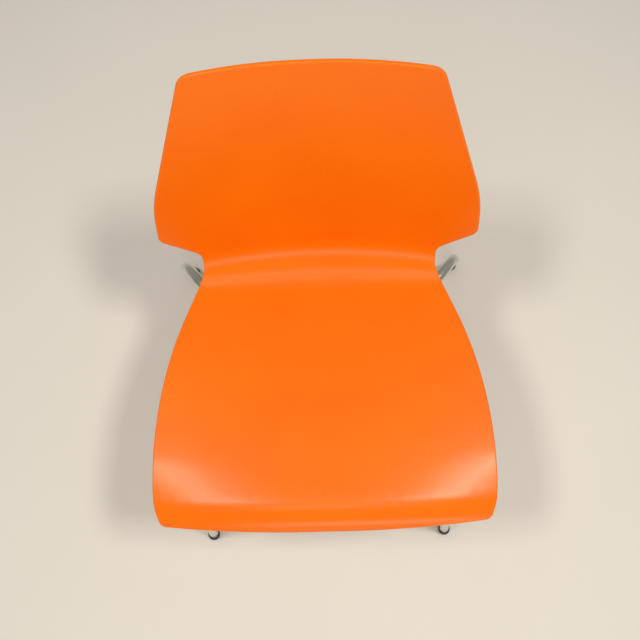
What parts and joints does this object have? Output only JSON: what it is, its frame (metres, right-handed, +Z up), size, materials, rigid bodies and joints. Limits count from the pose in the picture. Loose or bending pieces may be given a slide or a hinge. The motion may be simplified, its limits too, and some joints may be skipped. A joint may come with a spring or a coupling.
{
  "type": "stacking chair",
  "caption": "Armless stacking chair: moulded one-piece seat and back shell with a notched waist, bolted to bent steel tube leg loops that meet under the seat, with capped feet.",
  "frame": {"origin": "floor level, at the middle of the bounding box of the feet", "axes": "+Z up; the sitter faces -Y; +X is the sitter's left"},
  "size_m": [0.5472, 0.5416, 0.7756],
  "materials": {
    "shell_plastic": "bright orange moulded polypropylene with a fine matte grain",
    "tube_steel": "satin chrome-plated steel tube",
    "weld_steel": "plated weld bead",
    "plate_steel": "plated pressed steel plate",
    "screw_steel": "zinc-plated steel",
    "insert_brass": "plain brass",
    "foot_plastic": "black moulded polyethylene",
    "buffer_plastic": "black moulded polypropylene",
    "pad_rubber": "black rubber-like elastomer"
  },
  "bodies": {
    "root": {"seat_shell": "shell_plastic", "front_leg_tube": "tube_steel", "rear_leg_tube": "tube_steel", "front_weld": "weld_steel", "rear_weld": "weld_steel", "mounting_plate": "plate_steel", "mounting_screw_front": "screw_steel", "mounting_screw_rear": "screw_steel", "mounting_screw_left": "screw_steel", "mounting_screw_right": "screw_steel", "washer_front": "screw_steel", "washer_rear": "screw_steel", "washer_left": "screw_steel", "washer_right": "screw_steel", "threaded_insert_front": "insert_brass", "threaded_insert_rear": "insert_brass", "threaded_insert_left": "insert_brass", "threaded_insert_right": "insert_brass", "foot_cap_front_left": "foot_plastic", "foot_cap_front_right": "foot_plastic", "foot_cap_rear_left": "foot_plastic", "foot_cap_rear_right": "foot_plastic", "support_buffer_front_left": "buffer_plastic", "support_buffer_front_right": "buffer_plastic", "support_buffer_rear_left": "buffer_plastic", "support_buffer_rear_right": "buffer_plastic", "stacking_pad_front_left": "pad_rubber", "stacking_pad_front_right": "pad_rubber", "stacking_pad_rear_left": "pad_rubber", "stacking_pad_rear_right": "pad_rubber"}
  },
  "joints": []
}
